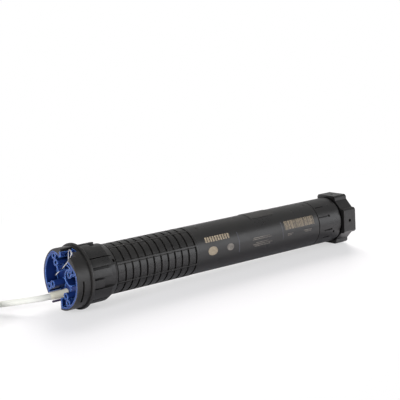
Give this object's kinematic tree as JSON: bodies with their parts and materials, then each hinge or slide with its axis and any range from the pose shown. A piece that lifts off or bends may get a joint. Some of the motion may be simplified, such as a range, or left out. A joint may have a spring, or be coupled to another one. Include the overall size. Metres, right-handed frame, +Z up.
{
  "type": "tubular roller blind motor",
  "caption": "Round black tubular motor for a roller blind, with a blue mounting head, spring clip, crown ring, ribbed electronics housing, drive wheel and white mains cable.",
  "frame": {"origin": "middle of the length between the antenna's tip and the drive wheel's end, on the surface under the flange, below the motor's axis", "axes": "+X along the motor's axis from the head to the drive wheel, +Z up, -Y towards the viewer of the picture"},
  "size_m": [0.5257, 0.1078, 0.065],
  "materials": {
    "black_plastic": "fine moulded grain",
    "blue_plastic": "smooth moulded",
    "spring_wire": "bright drawn wire",
    "antenna_sleeve": "smooth",
    "cable_white": "smooth sheath",
    "boot_beige": "smooth moulded",
    "core_insulation": "smooth, one colour a core",
    "tinned_metal": "tinned",
    "socket_plastic": "smooth moulded",
    "black_tube": "satin black lacquer",
    "washer_plastic": "smooth",
    "carrier_plastic": "smooth moulded",
    "board": "solder mask",
    "green_terminal": "moulded",
    "relay_blue": "moulded",
    "transformer_tape": "taped winding",
    "capacitor_sleeve": "shrunk sleeve",
    "capacitor_can": "moulded can",
    "steel": "turned",
    "blackened_steel": "blackened",
    "iron_core": "punched sheets",
    "copper": "lacquered wire",
    "cast_aluminium": "die cast",
    "bronze": "sintered",
    "magnet": "pressed",
    "brake_pad": "pressed",
    "gear_plastic": "moulded",
    "seal_rubber": "moulded"
  },
  "bodies": {
    "housing": {"head_shell": "black_plastic", "head_insert": "blue_plastic", "antenna": "antenna_sleeve", "cable_socket": "socket_plastic", "cable_boot": "boot_beige", "mains_cable": "cable_white", "cable_coil": "cable_white", "cable_cores": "core_insulation", "core_ferrules": "tinned_metal", "crown_washer": "washer_plastic", "electronics_housing": "black_plastic", "board_carrier": "carrier_plastic", "control_board": "board", "mains_terminal": "green_terminal", "relays": "relay_blue", "power_transformer": "transformer_tape", "filter_capacitors": "capacitor_sleeve", "radio_module": "tinned_metal", "motor_capacitor": "capacitor_can", "capacitor_holder": "carrier_plastic", "inner_leads": "core_insulation", "motor_tube": "black_tube", "tube_screws": "blackened_steel", "rating_plate": "black_tube", "stator_core": "iron_core", "stator_winding": "copper", "rear_shield": "cast_aluminium", "front_shield": "cast_aluminium", "shaft_bushes": "bronze", "sensor_board": "board", "brake_plate": "cast_aluminium", "ring_gear": "steel", "gear_housing": "black_plastic", "output_bush": "bronze", "output_seal": "seal_rubber"},
    "crown": {"crown": "black_plastic"},
    "clip": {"spring_clip": "spring_wire"},
    "wheel": {"drive_wheel": "black_plastic", "wheel_clip": "spring_wire", "output_shaft": "steel", "output_carrier": "steel"},
    "planet_3a": {"planet_3a": "steel"},
    "planet_3b": {"planet_3b": "steel"},
    "planet_3c": {"planet_3c": "steel"},
    "carrier_2": {"carrier_2": "steel"},
    "planet_2a": {"planet_2a": "steel"},
    "planet_2b": {"planet_2b": "steel"},
    "planet_2c": {"planet_2c": "steel"},
    "carrier_1": {"carrier_1": "steel"},
    "planet_1a": {"planet_1a": "gear_plastic"},
    "planet_1b": {"planet_1b": "gear_plastic"},
    "planet_1c": {"planet_1c": "gear_plastic"},
    "rotor": {"rotor_core": "iron_core", "rotor_cage": "cast_aluminium", "rotor_shaft": "steel", "magnet_ring": "magnet", "sun_pinion": "steel", "brake_spring": "spring_wire"},
    "brake": {"brake_disc": "steel", "brake_lining": "brake_pad"}
  },
  "joints": [
    {"name": "crown_spin", "type": "hinge", "parent": "housing", "child": "crown", "pos_m": [0, 0, 0.0325], "axis": [1, 0, 0], "continuous": true},
    {"name": "clip_pull", "type": "slide", "parent": "housing", "child": "clip", "axis": [0, -0.342, 0.9397], "range_m": [0, 0.006]},
    {"name": "wheel_spin", "type": "hinge", "parent": "housing", "child": "wheel", "pos_m": [0, 0, 0.0325], "axis": [1, 0, 0], "continuous": true},
    {"name": "carrier_2_spin", "type": "hinge", "parent": "housing", "child": "carrier_2", "pos_m": [0, 0, 0.0325], "axis": [1, 0, 0], "continuous": true},
    {"name": "carrier_1_spin", "type": "hinge", "parent": "housing", "child": "carrier_1", "pos_m": [0, 0, 0.0325], "axis": [1, 0, 0], "continuous": true},
    {"name": "rotor_spin", "type": "hinge", "parent": "housing", "child": "rotor", "pos_m": [0, 0, 0.0325], "axis": [1, 0, 0], "continuous": true},
    {"name": "brake_release", "type": "slide", "parent": "rotor", "child": "brake", "axis": [-1, 0, 0], "range_m": [0, 0.0004]},
    {"name": "planet_3a_spin", "type": "hinge", "parent": "wheel", "child": "planet_3a", "pos_m": [0, 0, 0.04487], "axis": [1, 0, 0], "continuous": true},
    {"name": "planet_3b_spin", "type": "hinge", "parent": "wheel", "child": "planet_3b", "pos_m": [0, -0.01072, 0.02631], "axis": [1, 0, 0], "continuous": true},
    {"name": "planet_3c_spin", "type": "hinge", "parent": "wheel", "child": "planet_3c", "pos_m": [0, 0.01072, 0.02631], "axis": [1, 0, 0], "continuous": true},
    {"name": "planet_2a_spin", "type": "hinge", "parent": "carrier_2", "child": "planet_2a", "pos_m": [0, 0, 0.04487], "axis": [1, 0, 0], "continuous": true},
    {"name": "planet_2b_spin", "type": "hinge", "parent": "carrier_2", "child": "planet_2b", "pos_m": [0, -0.01072, 0.02631], "axis": [1, 0, 0], "continuous": true},
    {"name": "planet_2c_spin", "type": "hinge", "parent": "carrier_2", "child": "planet_2c", "pos_m": [0, 0.01072, 0.02631], "axis": [1, 0, 0], "continuous": true},
    {"name": "planet_1a_spin", "type": "hinge", "parent": "carrier_1", "child": "planet_1a", "pos_m": [0, 0, 0.04487], "axis": [1, 0, 0], "continuous": true},
    {"name": "planet_1b_spin", "type": "hinge", "parent": "carrier_1", "child": "planet_1b", "pos_m": [0, -0.01072, 0.02631], "axis": [1, 0, 0], "continuous": true},
    {"name": "planet_1c_spin", "type": "hinge", "parent": "carrier_1", "child": "planet_1c", "pos_m": [0, 0.01072, 0.02631], "axis": [1, 0, 0], "continuous": true}
  ],
  "couplings": [
    {"joint": "carrier_2_spin", "follows": "wheel_spin", "ratio": 5.5},
    {"joint": "carrier_1_spin", "follows": "wheel_spin", "ratio": 30.25},
    {"joint": "rotor_spin", "follows": "wheel_spin", "ratio": 166.38},
    {"joint": "planet_3a_spin", "follows": "wheel_spin", "ratio": -2.5714},
    {"joint": "planet_3b_spin", "follows": "wheel_spin", "ratio": -2.5714},
    {"joint": "planet_3c_spin", "follows": "wheel_spin", "ratio": -2.5714},
    {"joint": "planet_2a_spin", "follows": "wheel_spin", "ratio": -14.143},
    {"joint": "planet_2b_spin", "follows": "wheel_spin", "ratio": -14.143},
    {"joint": "planet_2c_spin", "follows": "wheel_spin", "ratio": -14.143},
    {"joint": "planet_1a_spin", "follows": "wheel_spin", "ratio": -77.786},
    {"joint": "planet_1b_spin", "follows": "wheel_spin", "ratio": -77.786},
    {"joint": "planet_1c_spin", "follows": "wheel_spin", "ratio": -77.786}
  ]
}
